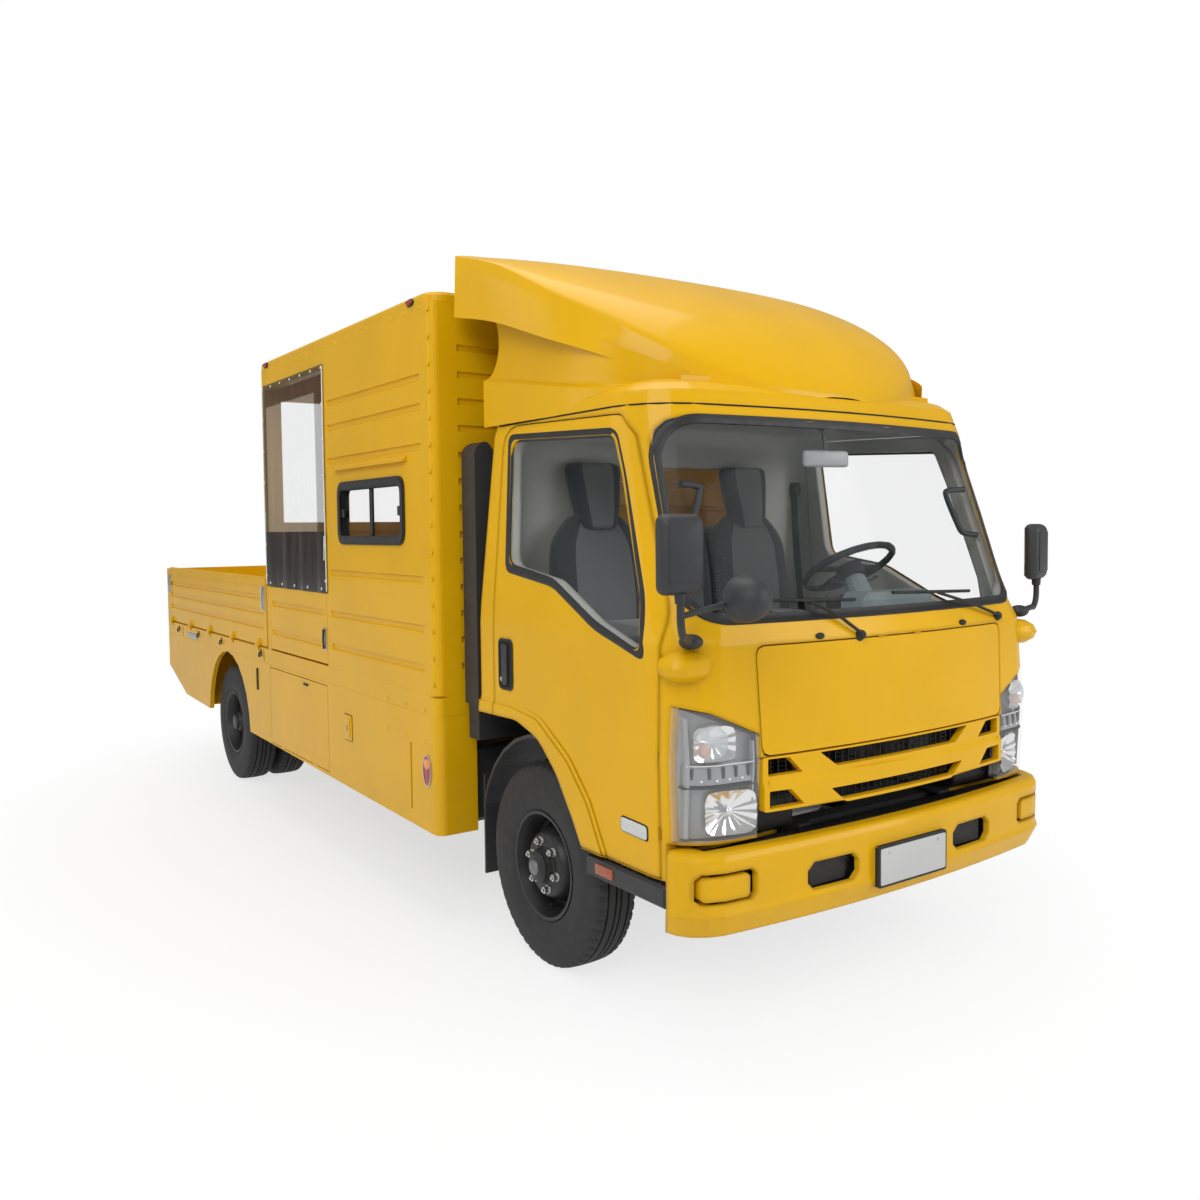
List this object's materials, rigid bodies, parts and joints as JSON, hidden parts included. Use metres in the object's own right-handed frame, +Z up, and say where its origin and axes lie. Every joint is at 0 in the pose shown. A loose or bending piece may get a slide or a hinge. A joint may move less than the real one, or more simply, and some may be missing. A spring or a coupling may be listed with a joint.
{
  "type": "thermoplastic pre-heating truck",
  "caption": "Road-marking support truck: cab-over cab with roof deflector, ribbed heating cabin with curtained side openings, and a low drop-side bed on a twin-wheel rear axle.",
  "frame": {"origin": "on the ground, under the middle of the overall length and width", "axes": "-Y is the driving direction, +X is the truck's left side, +Z is up"},
  "size_m": [2.421, 7.1915, 3.03],
  "materials": {
    "yellow_paint": "gloss",
    "chassis_black": "satin",
    "bare_steel": "rough",
    "wheel_black": "satin",
    "tyre_rubber": "matte",
    "window_frame": "matte",
    "clear_vinyl": "clear",
    "black_plastic": "grained",
    "lamp_lens": "clear",
    "tinted_glass": "clear",
    "dash_grey": "grained",
    "seat_fabric": "woven",
    "tail_lamp": "gloss"
  },
  "bodies": {
    "truck": {"cargo_floor": "yellow_paint", "box_front_wall": "yellow_paint", "box_rear_wall": "yellow_paint", "box_roof": "yellow_paint", "cab_shell": "yellow_paint", "grille": "yellow_paint", "front_bumper": "yellow_paint", "roof_deflector": "yellow_paint", "box_side_wall_L": "yellow_paint", "skirt_L": "yellow_paint", "box_side_wall_R": "yellow_paint", "skirt_R": "yellow_paint", "chassis_frame": "chassis_black", "front_axle": "chassis_black", "rear_axle": "chassis_black", "driveline": "chassis_black", "engine_block": "bare_steel", "side_window_L": "window_frame", "curtain_L": "clear_vinyl", "fender_step_L": "black_plastic", "mirror_L": "black_plastic", "headlamp_L": "lamp_lens", "side_window_R": "window_frame", "curtain_R": "clear_vinyl", "fender_step_R": "black_plastic", "mirror_R": "black_plastic", "headlamp_R": "lamp_lens", "windscreen": "tinted_glass", "rear_glass": "tinted_glass", "intake_duct": "black_plastic", "dashboard": "dash_grey", "driver_seat": "seat_fabric", "passenger_bench": "seat_fabric", "rear_lamp_bar": "tail_lamp"},
    "steer_L": {"knuckle_L": "chassis_black"},
    "front_wheel_L": {"front_rim_L": "wheel_black", "front_tyre_L": "tyre_rubber"},
    "rear_wheel_L": {"rear_rim_L": "wheel_black", "rear_tyre_inner_L": "tyre_rubber", "rear_tyre_outer_L": "tyre_rubber"},
    "door_L": {"cab_door_L": "yellow_paint", "door_glass_L": "tinted_glass"},
    "gate_L": {"half_gate_L": "yellow_paint"},
    "locker_L": {"locker_door_L": "yellow_paint"},
    "flap_L": {"dropside_L": "yellow_paint"},
    "steer_R": {"knuckle_R": "chassis_black"},
    "front_wheel_R": {"front_rim_R": "wheel_black", "front_tyre_R": "tyre_rubber"},
    "rear_wheel_R": {"rear_rim_R": "wheel_black", "rear_tyre_inner_R": "tyre_rubber", "rear_tyre_outer_R": "tyre_rubber"},
    "door_R": {"cab_door_R": "yellow_paint", "door_glass_R": "tinted_glass"},
    "gate_R": {"half_gate_R": "yellow_paint"},
    "locker_R": {"locker_door_R": "yellow_paint"},
    "flap_R": {"dropside_R": "yellow_paint"},
    "track_rod": {"tie_rod": "chassis_black"},
    "hand_wheel": {"steering_wheel": "black_plastic"},
    "lid": {"front_lid": "yellow_paint"},
    "tail_flap": {"tailgate": "yellow_paint"}
  },
  "joints": [
    {"name": "steer_R", "type": "hinge", "parent": "truck", "child": "steer_R", "pos_m": [-0.7, -2.296, 0.417], "axis": [0, 0, 1], "range_deg": [-32, 32]},
    {"name": "steer_L", "type": "hinge", "parent": "truck", "child": "steer_L", "pos_m": [0.7, -2.296, 0.417], "axis": [0, 0, 1], "range_deg": [-32, 32]},
    {"name": "track_rod_pivot", "type": "hinge", "parent": "steer_R", "child": "track_rod", "pos_m": [-0.685, -2.096, 0.267], "axis": [0, 0, 1], "range_deg": [-32, 32]},
    {"name": "steering_wheel_turn", "type": "hinge", "parent": "truck", "child": "hand_wheel", "pos_m": [0.44, -2.711, 1.615], "axis": [0, 0.5, 0.866], "range_deg": [-544, 544]},
    {"name": "front_spin_R", "type": "hinge", "parent": "steer_R", "child": "front_wheel_R", "pos_m": [-0.84, -2.296, 0.417], "axis": [1, 0, 0], "continuous": true},
    {"name": "rear_spin_R", "type": "hinge", "parent": "truck", "child": "rear_wheel_R", "pos_m": [-0.809, 1.879, 0.417], "axis": [1, 0, 0], "continuous": true},
    {"name": "cab_door_R", "type": "hinge", "parent": "truck", "child": "door_R", "pos_m": [-0.985, -3.154, 1.05], "axis": [0, 0, 1], "range_deg": [0, 70]},
    {"name": "half_gate_R", "type": "hinge", "parent": "truck", "child": "gate_R", "pos_m": [-1.09, 0.7365, 1.062], "axis": [0, 0, 1], "range_deg": [-90, 0]},
    {"name": "locker_door_R", "type": "hinge", "parent": "truck", "child": "locker_R", "pos_m": [-1.09, 0.254, 0.4525], "axis": [0, 1, 0], "range_deg": [-90, 0]},
    {"name": "dropside_R", "type": "hinge", "parent": "truck", "child": "flap_R", "pos_m": [-1.104, 2.169, 1.065], "axis": [0, 1, 0], "range_deg": [-180, 0]},
    {"name": "front_spin_L", "type": "hinge", "parent": "steer_L", "child": "front_wheel_L", "pos_m": [0.84, -2.296, 0.417], "axis": [1, 0, 0], "continuous": true},
    {"name": "rear_spin_L", "type": "hinge", "parent": "truck", "child": "rear_wheel_L", "pos_m": [0.809, 1.879, 0.417], "axis": [1, 0, 0], "continuous": true},
    {"name": "cab_door_L", "type": "hinge", "parent": "truck", "child": "door_L", "pos_m": [0.985, -3.154, 1.05], "axis": [0, 0, 1], "range_deg": [-70, 0]},
    {"name": "half_gate_L", "type": "hinge", "parent": "truck", "child": "gate_L", "pos_m": [1.09, 0.7365, 1.062], "axis": [0, 0, 1], "range_deg": [0, 90]},
    {"name": "locker_door_L", "type": "hinge", "parent": "truck", "child": "locker_L", "pos_m": [1.09, 0.254, 0.4525], "axis": [0, 1, 0], "range_deg": [0, 90]},
    {"name": "dropside_L", "type": "hinge", "parent": "truck", "child": "flap_L", "pos_m": [1.104, 2.169, 1.065], "axis": [0, 1, 0], "range_deg": [0, 180]},
    {"name": "front_lid", "type": "hinge", "parent": "truck", "child": "lid", "pos_m": [0, -3.365, 1.3925], "axis": [1, 0, 0], "range_deg": [-75, 0]},
    {"name": "tailgate", "type": "hinge", "parent": "truck", "child": "tail_flap", "pos_m": [0, 3.588, 1.065], "axis": [1, 0, 0], "range_deg": [-180, 0]}
  ],
  "couplings": [
    {"joint": "steer_L", "follows": "steer_R", "ratio": 1},
    {"joint": "track_rod_pivot", "follows": "steer_R", "ratio": -1},
    {"joint": "steering_wheel_turn", "follows": "steer_R", "ratio": 17}
  ]
}
